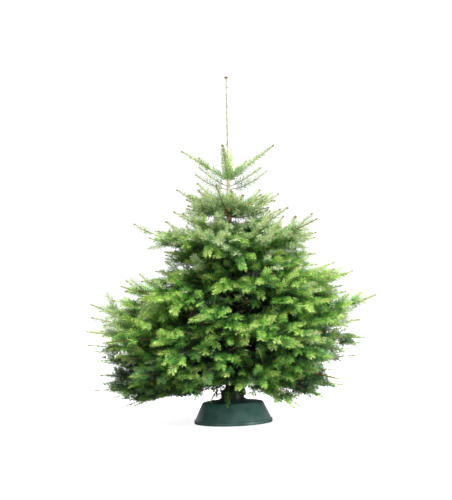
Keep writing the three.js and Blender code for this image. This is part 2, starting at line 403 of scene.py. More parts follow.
@dataclass(frozen=True)
class PlasticFinish(Finish):
    """Moulded satin plastic with a fine grain and faint flow marks of a dustier tone."""

    colour: str
    dusty: str
    roughness: float
    grain: float = 0.9  # mm
    grain_depth: float = 0.15  # mm
    flow: float = 60.0  # mm

    def inputs(self, tree: bpy.types.NodeTree) -> dict[str, object]:
        """Two close colours mixed by broad noise, roughness varied by the same, and a fine grain as bump.

        It gives the eye a satin moulding whose broad highlight breaks up a little.

        Args:
            tree: The node tree to add to.

        Returns:
            The shader's inputs by name.
        """
        flow = patches(tree, self.flow, 5)
        colour = add_node(tree, "ValToRGB", stops=((0.38, self.colour), (0.72, self.dusty)), Fac=flow)
        rough = add_node(
            tree, "MapRange", Value=flow, From_Min=0.3, From_Max=0.7,
            To_Min=self.roughness - 0.05, To_Max=self.roughness + 0.12,
        )
        grain = patches(tree, self.grain, 2)
        bump = add_node(tree, "Bump", Strength=0.12, Distance=self.grain_depth * MM, Height=grain)
        return dict(Base_Color=colour.outputs[0], Roughness=rough.outputs[0], Normal=bump.outputs[0])


@dataclass(frozen=True)
class FloorFinish(Finish):
    """Pale matt paint that the camera sees brighter than it lights the crown, which is dark underneath."""

    def inputs(self, tree: bpy.types.NodeTree) -> dict[str, object]:
        """Grey for the light that bounces off it, and near white with a glow for the camera.

        Args:
            tree: The node tree to add to.

        Returns:
            The shader's inputs by name.
        """
        seen = add_node(tree, "LightPath").outputs["Is Camera Ray"]
        tint = add_node(tree, "Mix", {"data_type": "RGBA"}, _0=seen, _6=srgb("#70706e"), _7=srgb("#fbfbfa"))
        glow = add_node(tree, "Math", {"operation": "MULTIPLY"}, _0=seen, _1=0.8)
        return dict(
            Base_Color=tint.outputs[2], Roughness=0.9, Emission_Color=(1, 1, 1, 1),
            Emission_Strength=glow.outputs[0],
        )


class NeedleTone(Enum):
    """The greens of the needles: five steps of green from the darkest, then five of grey-green, dealt out
    by age, chance, and painted light and shade.
    """

    SHADED = PlainFinish("needle_shaded_green", "#2a402c", 0.55)
    DEEP = PlainFinish("needle_deep_green", "#3a6b33", 0.45)
    MID = PlainFinish("needle_mid_green", "#5b983f", 0.45)
    FRESH = PlainFinish("needle_fresh_green", "#8abf54", 0.48)
    NEW = PlainFinish("needle_new_growth", "#b8da76", 0.5)
    SHADED_GREY = PlainFinish("needle_shaded_grey_green", "#334836", 0.55)
    DEEP_GREY = PlainFinish("needle_deep_grey_green", "#457642", 0.5)
    GREY = PlainFinish("needle_grey_green", "#729c62", 0.5)
    SOFT = PlainFinish("needle_soft_green", "#a2c284", 0.5)
    PALE = PlainFinish("needle_pale_green", "#c8dba8", 0.5)


STEPS = 5  # steps in each of the two families
TWIG_FINISHES = (
    PlainFinish("twig_this_year", "#b3a566", 0.6),
    PlainFinish("twig_young_bark", "#7f6a45", 0.7),
    PlainFinish("twig_old_bark", "#433d2e", 0.8),
)
BUD_SCALES = PlainFinish("bud_scales", "#93805a", 0.5)
# dark low down, partly old bark and partly painted shade under the crown; near white under the leader,
# partly young bark and partly a painted highlight
TRUNK_BARK = BarkFinish(
    "fir_trunk_bark",
    (
        (0.1, "#3d3128"), (0.54, "#4a3b2e"), (0.61, "#cbb296"), (0.64, "#f6e9d8"), (0.7, "#f1e8d2"),
        (0.72, "#cbce9f"), (0.9, "#c5cb9c"),
    ),
)
YOUNG_LIMB_BARK = BarkFinish(
    "fir_young_limb_bark", ((0.1, "#8d8158"), (0.6, "#aaa068")), (1, 1, 0), 0.3, crack=3.0
)
LIMB_BARK = BarkFinish(
    "fir_limb_bark", ((0.05, "#574737"), (0.4, "#7f6848"), (0.9, "#9a7c55")), (1, 1, 0), 0.5, crack=3.5
)
STAND_PLASTIC = PlasticFinish("stand_satin_plastic", "#365b53", "#4b7069", 0.3)
CLAMP_PLASTIC = PlasticFinish("clamp_dark_plastic", "#0d1514", "#141f1d", 0.5)


@dataclass(frozen=True)
class Palette:
    """The tree's materials, each list in the order of its surfaces' tones."""

    trunk: list[bpy.types.Material]
    limbs: list[bpy.types.Material]
    young_limbs: list[bpy.types.Material]
    greens: list[bpy.types.Material]
    twigs: list[bpy.types.Material]
    buds: list[bpy.types.Material]

    @staticmethod
    def mixed() -> "Palette":
        """Makes every material of the tree once."""
        greens = [tone.value for tone in NeedleTone]
        families = ([TRUNK_BARK], [LIMB_BARK], [YOUNG_LIMB_BARK], greens, TWIG_FINISHES, [BUD_SCALES])
        return Palette(*([finish.material() for finish in family] for family in families))


# ---------------------------------------------------------------- the tree's named sizes
@dataclass(frozen=True)
class Whorl:
    """One ring of boughs. Lengths in millimetres, one for each side: right, back, left, front."""

    name: str
    height: float
    years: int
    azimuths: tuple[float, ...]
    reach: tuple[float, float, float, float]
    rise: tuple[float, float, float, float]
    bow: float  # how far a bough's middle rises above its chord, as a share of its reach
    limb: float = 0.0  # its radius at the trunk, or nil in a whorl of thin shoots
    shares: tuple[float, ...] = ()  # each bough's size as a share of the whorl's


WHORLS = (
    Whorl(
        "top_shoot", 1251, 1, (0, 44, 84, 180, 264), (240, 200, 234, 215), (172, 198, 157, 138), 0.0,
        shares=(1, 0.6, 1, 1, 1),
    ),
    Whorl("internode_shoot", 1199, 1, (4, 178), (202, 190, 168, 180), (92, 70, 86, 70), -0.1),
    Whorl("upper", 1072, 2, (12, 100, 186, 256), (268, 250, 264, 235), (102, 80, 128, 110), -0.05, 5),
    Whorl(
        "shoulder", 876, 3, (338, 66, 164, 252), (480, 440, 512, 410), (148, 90, 148, 30), -0.05, 8,
        shares=(1, 1, 0.85, 1),
    ),
    Whorl("middle", 696, 4, (22, 108, 202, 292), (668, 590, 590, 520), (92, 60, 6, 4), -0.09, 9),
    Whorl("wide", 524, 5, (352, 76, 172, 258), (740, 690, 748, 590), (98, 60, 104, 10), -0.07, 10),
    Whorl("low", 388, 5, (8, 84, 146, 212, 296), (705, 700, 760, 610), (16, 30, 64, -10), 0.02, 11),
    Whorl("bottom", 266, 5, (340, 64, 170, 256), (575, 600, 690, 530), (-66, -50, -62, -10), 0.04, 11),
)
SKIRT = Whorl(
    "skirt", 214, 4, (24, 66, 104, 142, 178, 208, 240, 268, 300, 334),
    (510, 480, 570, 430), (-112, -80, -122, 6), 0.05, 7,
)


@dataclass(frozen=True)
class Filler:
    """A thinner bough beside each main bough of a whorl. Turn in degrees, lift in millimetres."""

    turn: float
    share: float
    lift: float
    years: int


FILLERS = (Filler(26, 0.96, -58, 4), Filler(-30, 0.8, 12, 3))
FILLERS_OF = {
    "internode_shoot": (),
    "upper": (Filler(26, 0.96, -50, 2), Filler(-32, 0.86, -20, 2)),
    "shoulder": (Filler(26, 0.96, -58, 4), Filler(-30, 0.8, -4, 3), Filler(-48, 0.8, 6, 3)),
    "bottom": (Filler(26, 0.98, -38, 4), Filler(-12, 0.86, -104, 4), Filler(-34, 0.96, 6, 4)),
}


@dataclass(frozen=True)
class Stray:
    """A single bough off the trunk between the whorls. Millimetres, degrees and years."""

    height: float
    azimuth: float
    reach: float
    rise: float
    years: int
    bow: float = -0.03
    limb: float = 5.0


# Height, azimuth, reach, rise, years, bow and limb of each. Its chance starts from its place in this table,
# so a new one goes at the end.
STRAYS = tuple(
    Stray(*row)
    for row in (
        (1212, -8, 170, 92, 1, -0.04, 0), (1216, 184, 150, 104, 1, -0.08, 0), (1082, 300, 215, 20, 2),
        (1068, 284, 190, -10, 2), (1030, 246, 150, -10, 2), (1020, 290, 160, -20, 2),
        (1090, 320, 225, 44, 2), (850, 10, 455, 5, 3), (790, -14, 450, -5, 3), (830, 176, 335, 20, 2),
        (880, 4, 445, 56, 2, -0.05),
        (590, 184, 605, 50, 4), (600, 12, 625, 50, 4), (470, -8, 650, 28, 4), (440, 180, 742, 45, 4),
        (400, 177, 748, 14, 4), (330, 186, 705, 2, 4), (650, 4, 640, 104, 4, -0.06), (620, 8, 590, 60, 3),
        (356, -14, 620, 0, 4, 0.0), (372, 2, 690, 10, 4, 0.0), (290, -6, 560, -116, 3),
        (280, 176, 705, -24, 4), (250, 188, 700, -60, 4), (300, 303, 510, -196, 4, -0.03),
        (262, 300, 440, -128, 3, 0.0), (212, 262, 190, -66, 2, 0.1), (204, 288, 180, -52, 2, 0.1),
        (206, 238, 210, -84, 2, 0.12), (196, 262, 206, -98, 2, 0.2, 3), (765, 176, 385, 20, 3),
        (740, 190, 400, 0, 3), (715, 184, 455, 18, 3), (850, 168, 350, 40, 2), (1060, 186, 215, 42, 2),
        (1065, 8, 205, 36, 2), (450, 6, 570, 8, 3), (330, 4, 655, -14, 3), (340, 172, 690, -8, 4),
        (214, 186, 560, -72, 3), (440, 98, 420, -10, 3), (415, 60, 430, -10, 3), (430, 34, 420, -10, 3),
        (880, 172, 335, 8, 2), (1078, 336, 180, 76, 2), (645, 291, 310, 4, 3), (455, 302, 340, -10, 3),
        (232, 276, 215, -88, 3, 0.12),
    )
)


@dataclass(frozen=True)
class Leader:
    """A straight young shoot that stands out of the foliage: its foot and the way to its tip, in mm."""

    foot: tuple[float, float, float]
    run: tuple[float, float, float]


LEADERS = (
    Leader((-80, -5, 1312), (-50, 0, 56)), Leader((-60, -60, 1150), (-80, -20, 72)),
    Leader((167, -200, 876), (110, -60, 137)), Leader((124, -200, 932), (94, -50, 98)),
    Leader((179, -60, 1000), (132, -40, 78)), Leader((269, -100, 912), (160, -60, 122)),
    Leader((-189, -120, 921), (-112, -40, 100)), Leader((-127, -60, 1001), (-136, -30, 77)),
    Leader((-32, -260, 863), (-2, -60, 76)), Leader((226, -300, 636), (120, -50, 130)),
    Leader((-375, -60, 690), (-78, -10, 80)), Leader((-446, -60, 682), (-74, -10, 56)),
    Leader((-395, 40, 985), (-88, 10, 54)),
)
RINGS = ((0.34, 0.84, 5), (0.7, 0.94, 4))  # share of the way down, share of the reach, count
RINGS_OF = {"upper": ((0.62, 0.84, 6),)}
RING_SHARES = (0.86, 0.86, 0.86, 0.74, 1.0, 1.02, 1.06)  # more of the reach lower down, by tier
SMALL_SHOOTS = ((140, 196, 1000, (130, 240)), (64, 640, 890, (190, 320)))  # count, lowest, highest, reaches
NEEDLES_OF = {0: 1.7, 1: 0.7}  # how thickly needled the two top tiers are
GOLDEN_SHARE = 0.61803
LEAN = 0.78  # degrees, towards +X
GOLDEN = 137.508  # degrees
ARCH = 0.06  # how much more the boughs towards the front and back bow upwards
LIT_DEPTH = 0.42  # metres into the crown over which its light fails
LEADING = 0.7  # a shoot that leads by more than this is a leading one


def trunk_axis(height: float) -> np.ndarray:
    """The trunk's centre at a height in millimetres, in metres: straight, leaning towards +X."""
    return np.array([height * math.tan(math.radians(LEAN)), 0.0, height]) * MM


def at_azimuth(sides: tuple[float, float, float, float], degrees: float) -> float:
    """A size given for the four sides, read at any azimuth with a smooth step from side to side.

    Args:
        sides: The size on the right, at the back, on the left and at the front.
        degrees: The azimuth.

    Returns:
        The size there.
    """
    turn = (degrees % 360) / 90
    i = int(turn) % 4
    s = turn - int(turn)
    s = s * s * (3 - 2 * s)
    return sides[i] * (1 - s) + sides[(i + 1) % 4] * s


def nearest_tier(height: float) -> int:
    """The number of the whorl that stands nearest to a height in millimetres."""
    return int(np.argmin([abs(height - w.height) for w in WHORLS]))


def envelope(height: np.ndarray) -> np.ndarray:
    """How far the crown reaches from the trunk at heights in metres, straight from whorl to whorl."""
    rings = sorted((w.height * MM, float(np.mean(w.reach)) * MM) for w in (*WHORLS[2:], SKIRT))
    return np.interp(height, [0.1, *(h for h, _ in rings), 1.25], [0.3, *(r for _, r in rings), 0.16])


def depth(points: np.ndarray) -> np.ndarray:
    """How far points lie inside the envelope: its reach less their distance from the leaning trunk."""
    across = points[..., 0] - points[..., 2] * math.tan(math.radians(LEAN))
    return envelope(points[..., 2]) - np.hypot(across, points[..., 1])


# ---------------------------------------------------------------- the branching rule
class Chance(IntEnum):
    """The numbers that the chance of each kind of bough, and of the bark's relief, starts from."""

    COMPANY_PLACE = 30
    COMPANY = 31
    RING_PLACE = 50
    RING = 51
    SKIRT = 60
    SHOOT_PLACE = 70
    SHOOT = 71
    STRAY = 80
    RELIEF = 900


@dataclass
class Axis:
    """One twig or bough: a quadratic curve from start to end, bent at control, with its age in years."""

    start: np.ndarray
    control: np.ndarray
    end: np.ndarray
    normal: np.ndarray
    years: int
    order: int
    tier: int
    radius: float
    tip_radius: float
    leading: float
    bare: float = 0.0
    thick: float = 1.0
    modelled: int = 0
    shade: float = 0.0

    def point(self, t: float) -> np.ndarray:
        """The curve's point at t."""
        return curve(self.start, self.control, self.end, t)

    def tangent(self, t: float) -> np.ndarray:
        """The curve's direction at t, of length one."""
        return slope(self.start, self.control, self.end, t)

    @property
    def length(self) -> float:
        """Close to the curve's length: the mean of its chord and its two straight arms."""
        arms = np.linalg.norm(self.control - self.start) + np.linalg.norm(self.end - self.control)
        return float((np.linalg.norm(self.end - self.start) + arms) / 2)


@dataclass
class Crown:
    """Grows every axis of the crown from the whorls by one seeded rule.

    Each year a twig's tip makes one unit more, and at the foot of the unit it opens a pair of laterals,
    left and right in the plane of the bough. A lateral is as long as what its parent has grown since,
    times a ratio. A weaker pair stands halfway along each unit, and a few shoots rise above or hang below
    the plane. Twigs deep in the crown's shade have mostly died back.

    The droop is how strongly a lateral's outer half hangs, by height in metres. Laterals towards the
    front hang more halfway up, and those over the stand less, so that it shows.
    """

    seed: int = SEED
    ratio: float = 0.64
    weak_ratio: float = 0.42
    angle: float = 50.0
    weak_angle: float = 54.0
    odd_angle: float = 34.0
    odd_shoots: float = 0.4  # share of the nodes with a shoot above or below the plane
    odd_length: float = 0.1
    shortest: float = 0.084
    extra: float = 0.022
    unit_length: float = 0.088
    droop: Pairs = ((0.12, 0.0), (0.26, 0.1), (0.4, 0.28), (0.75, 0.28), (0.95, 0.05), (1.1, -0.15))
    front_droop: Pairs = ((0.42, 0), (0.52, 0.3), (0.9, 0.3), (1.0, 0))
    stand_lift: Pairs = ((0.2, 0.5), (0.26, 0))
    over_stand: Pairs = ((0.08, 0), (0.12, 1), (0.3, 1), (0.36, 0))  # by the distance from the middle plane
    axes: list[Axis] = field(default_factory=list)

    def grow(self) -> None:
        """Fills the list of axes."""
        for tier, whorl in enumerate(WHORLS):
            for i, azimuth in enumerate(whorl.azimuths):
                share = whorl.shares[i] if whorl.shares else 1.0
                self.bough(whorl, tier, azimuth, (tier, i), share, modelled=i + 1 if whorl.limb else 0)
                if tier > 0:
                    self.company(whorl, tier, azimuth, i, share)
        for i, azimuth in enumerate(SKIRT.azimuths):
            self.bough(SKIRT, len(WHORLS) - 1, azimuth, (Chance.SKIRT, i))
        self.rings()
        self.strays()
        self.leaders()
        for row in SMALL_SHOOTS:
            self.small_shoots(*row)

    def company(self, whorl: Whorl, tier: int, azimuth: float, number: int, share: float) -> None:
        """The thinner boughs beside one main bough.

        Args:
            whorl: The main bough's whorl.
            tier: The whorl's number from the top.
            azimuth: The main bough's direction in degrees.
            number: Its number in the whorl.
            share: Its size as a share of the whorl's.
        """
        for k, filler in enumerate(FILLERS_OF.get(whorl.name, FILLERS)):
            rng = np.random.default_rng([self.seed, Chance.COMPANY_PLACE, tier, number, k])
            height = whorl.height + rng.uniform(-24, 18)
            years = min(filler.years, whorl.years + bool(whorl.limb))
            rise = tuple(r + filler.lift for r in whorl.rise)
            part = Whorl(whorl.name, height, years, (), whorl.reach, rise, whorl.bow, min(5, whorl.limb))
            place = azimuth + filler.turn + rng.uniform(-6, 6)
            self.bough(part, tier, place, (Chance.COMPANY, tier, number, k), filler.share * share)

    def rings(self) -> None:
        """Boughs on the trunk between the whorls, with reach and rise between those of the two."""
        for tier in range(2, len(WHORLS) - 1):
            above, below = WHORLS[tier], WHORLS[tier + 1]
            for ring, (f, share, count) in enumerate(RINGS_OF.get(above.name, RINGS)):
                rng = np.random.default_rng([self.seed, Chance.RING_PLACE, tier, ring])
                reach = tuple(a * (1 - f) + b * f for a, b in zip(above.reach, below.reach))
                rise = tuple(a * (1 - f) + b * f for a, b in zip(above.rise, below.rise))
                for i in range(count):
                    height = above.height + (below.height - above.height) * (f + rng.uniform(-0.14, 0.14))
                    spread = rng.uniform(-50, 40)
                    tipped = tuple(r + spread for r in rise)
                    part = Whorl("ring", height, min(4, above.years), (), reach, tipped, -0.03, 5)
                    azimuth = 270 + rng.uniform(-12, 12) + (i + 0.5 * ring) * 360 / count
                    self.bough(part, tier, azimuth, (Chance.RING, tier, ring, i), share * RING_SHARES[tier])

    def strays(self) -> None:
        """The single boughs between the whorls."""
        for k, stray in enumerate(STRAYS):
            reach, rise = (stray.reach,) * 4, (stray.rise,) * 4
            part = Whorl("stray", stray.height, stray.years, (), reach, rise, stray.bow, stray.limb)
            self.bough(part, nearest_tier(stray.height), stray.azimuth, (Chance.STRAY, k))

    def leaders(self) -> None:
        """The young shoots that stand up out of the foliage, each sagging a little in its middle."""
        for leader in LEADERS:
            start, run = np.array(leader.foot) * MM, np.array(leader.run) * MM
            control = start + 0.5 * run - UP * 0.04 * np.linalg.norm(run)
            normal = np.cross(unit(np.cross(run, UP)), unit(run))
            made = Axis(
                start, control, start + run, normal, years=1, order=1, tier=nearest_tier(leader.foot[2]),
                radius=2.8 * MM, tip_radius=2.0 * MM, leading=0.75, thick=0.9,
            )
            self.axes.append(made)

    def small_shoots(self, count: int, lowest: float, highest: float, reaches: tuple[float, float]) -> None:
        """Short needled shoots straight from the trunk, the lowest of which hang over the clamp.

        Args:
            count: How many.
            lowest: Where the lowest stands, in millimetres.
            highest: Where the highest stands.
            reaches: The least and the greatest reach.
        """
        rng = np.random.default_rng([self.seed, Chance.SHOOT_PLACE, count])
        for i in range(count):
            height = lowest + (highest - lowest) * (i + 0.5) / count
            tier = nearest_tier(height)
            reach = (rng.uniform(*reaches),) * 4
            rise = (rng.uniform(0, 60) if height > 260 else rng.uniform(-50, 0),) * 4
            part = Whorl("short", height, 2, (), reach, rise, -0.03, 3)
            self.bough(part, tier, i * GOLDEN, (Chance.SHOOT, count, i))

    def bough(
        self, whorl: Whorl, tier: int, azimuth: float, seed: tuple[int, ...], share: float = 1.0,
        modelled: int = 0,
    ) -> None:
        """One bough with all that it carries.

        Args:
            whorl: The sizes to read.
            tier: The number of the CAD whorl that it belongs to, from the top.
            azimuth: Its direction in degrees.
            seed: The numbers that its chance starts from.
            share: Its size as a share of the whorl's.
            modelled: The number of its CAD node in the whorl, or nil.
        """
        rng = np.random.default_rng([self.seed, *seed])
        reach, rise = (at_azimuth(sides, azimuth) * share * MM for sides in (whorl.reach, whorl.rise))
        out = level(azimuth)
        start = trunk_axis(whorl.height)
        end = start + out * reach + UP * rise
        bow = whorl.bow + (ARCH * out[1] ** 2 if tier > 2 else 0.0)
        control = (start + end) / 2 + UP * 2 * bow * reach
        flat = unit(np.cross(end - start, np.cross(UP, out)))
        normal = unit(flat + rng.uniform(-0.3, 0.3) * np.cross(flat, unit(end - start)))
        made = Axis(
            start, control, end, normal, whorl.years, 0, tier, max(1.9, whorl.limb) * MM, 1.5 * MM,
            leading=0.4 if tier == 1 else 1.0, bare=0.16 if tier else 0.0, thick=NEEDLES_OF.get(tier, 1.0),
            modelled=modelled, shade=rng.normal(0, 0.45),
        )
        self.carry(made, rng)

    def carry(self, axis: Axis, rng: np.random.Generator) -> None:
        """Adds an axis, then its laterals, and theirs in turn.

        Args:
            axis: The axis to add.
            rng: The source of chance.
        """
        self.axes.append(axis)
        if axis.years < 2 or axis.order > 2:
            return
        span = (1 - axis.bare) / axis.years
        for k in range(axis.years):
            node = axis.bare + span * (k + rng.uniform(-0.06, 0.06))
            left = axis.years - k
            if k > 0:
                for side in (-1, 1):
                    self.lateral(axis, node, side, self.ratio, self.angle, 0.0, left, rng)
                if rng.random() < self.odd_shoots:
                    raised = rng.random() < 0.4 or axis.end[2] < 0.25
                    lift = rng.uniform(20, 46) if raised else rng.uniform(-56, -24)
                    self.lateral(axis, node, rng.uniform(-0.7, 0.7), 0.0, self.odd_angle, lift, 1, rng)
            if k < axis.years - 1:
                for side in (-1, 1):
                    middle = node + span * rng.uniform(0.4, 0.6)
                    lift = rng.uniform(-14, 14)
                    self.lateral(axis, middle, side, self.weak_ratio, self.weak_angle, lift, left - 1, rng)

    def lateral(
        self, parent: Axis, t: float, side: float, ratio: float, angle: float, lift: float, years: int,
        rng: np.random.Generator,
    ) -> None:
        """One lateral of an axis, with all that it carries, if it is long enough and has enough light.

        Its direction is the parent's turned sideways by angle and up by lift. Its outer half bends back
        towards the parent's own direction, and hangs or rises by the droop at its height.

        Args:
            parent: The axis it stands on.
            t: Where on that axis.
            side: -1 for left, 1 for right, or less for a shoot nearer the middle plane.
            ratio: Its length over what the parent has beyond t, or nil for a shoot out of the plane.
            angle: Degrees between the two.
            lift: Degrees above the plane of the bough.
            years: How many units it has.
            rng: The source of chance.
        """
        chance, stretch, wobble = rng.random(), rng.uniform(0.84, 1.14), rng.normal(0, 0.06, 3)
        turn = math.radians(angle + rng.uniform(-7, 7))
        tilt = math.radians(lift + rng.normal(9, 12))
        length = (ratio * (1 - t) * parent.length + self.extra if ratio else self.odd_length) * stretch
        start = parent.point(t)
        light = max(0.4, 1.6 - float(depth(start)) / LIT_DEPTH)
        if length < self.shortest or chance > light:
            return
        forward = parent.tangent(t)
        across = np.cross(parent.normal, forward)
        flat = unit(forward * math.cos(turn) + across * side * math.sin(turn))
        heading = unit(flat * math.cos(tilt) + parent.normal * math.sin(tilt))
        in_front = np.interp(-start[1], [0.12, 0.32], [0, 1])
        droop = read(self.droop, start[2]) + in_front * read(self.front_droop, start[2])
        droop -= read(self.over_stand, abs(start[0])) * read(self.stand_lift, start[2])
        outer = unit(heading + 0.3 * forward - droop * UP + wobble)
        control = start + heading * length * 0.5
        end = control + outer * length * 0.5
        normal = unit(np.cross(end - start, np.cross(parent.normal, end - start)))
        years = min(years, max(1, round(length / self.unit_length)))
        radius = min(0.75 * parent.radius, (1.2 + 0.7 * years) * MM)
        made = Axis(
            start, control, end, normal, years, parent.order + 1, parent.tier, radius, 1.1 * MM,
            leading=0.75 * parent.leading if ratio == self.ratio else 0.2,
            shade=parent.shade + rng.normal(0, 0.35),
        )
        self.carry(made, rng)


# ---------------------------------------------------------------- arrays of axes
@dataclass
class Bundle:
    """Many axes as arrays, one for each field of Axis, so that all needles are worked out at once."""

    axes: list[Axis]

    def __post_init__(self) -> None:
        """Stacks the axes' points and sizes."""
        for name in [*(f.name for f in fields(Axis)), "length"]:
            setattr(self, name, np.array([getattr(a, name) for a in self.axes]))

    def point(self, i: np.ndarray, t: np.ndarray) -> np.ndarray:
        """The points of axes i at t."""
        return curve(self.start[i], self.control[i], self.end[i], t[..., None])

    def frames(self, i: np.ndarray, t: np.ndarray) -> tuple[np.ndarray, np.ndarray, np.ndarray]:
        """Three directions square to each other: tangent, normal less its part along that, their product.

        Args:
            i: Numbers of axes.
            t: Where on each.

        Returns:
            The ways that are along, up and to the side.
        """
        tangent = slope(self.start[i], self.control[i], self.end[i], t[..., None])
        normal = self.normal[i]
        up = unit(normal - (normal * tangent).sum(-1, keepdims=True) * tangent)
        return tangent, up, np.cross(tangent, up)


@dataclass(frozen=True)
class NeedleShape:
    """A Nordmann fir needle: a flat, blunt blade, widest past its middle. Angles in degrees."""

    length: float = 28 * MM
    width: float = 3.0 * MM
    densest: float = 1160.0  # needles to a metre of this year's shoot
    kept: tuple[float, ...] = (1.0, 0.85, 0.7, 0.55, 0.45, 0.45, 0.45, 0.45)  # share left, by age in years
    arc: float = 146.0  # either side of the top of the twig
    lean: float = 56.0  # from the twig, on its top
    side_lean: float = 8.0  # more at the sides
    tip_lean: float = 24.0  # less at the tip of a leading shoot
    end_lean: float = 26.0  # less at the very end of this year's unit
    spread: float = 7.0  # how much chance moves the lean
    crowding: float = 0.85  # power that spaces the needles round the twig, below one for fewer on top
    combing: float = 0.25  # how far the lowest are combed outwards
    seat: float = 0.7  # where a needle starts, as a share of the twig's radius
    roll: float = 0.5  # how much chance turns a needle about its own line, in radians
    sag: float = 0.08  # most that its end bends down, as a share of its length
    old_width: float = 1.6  # how much wider the old ones are, which stand for more


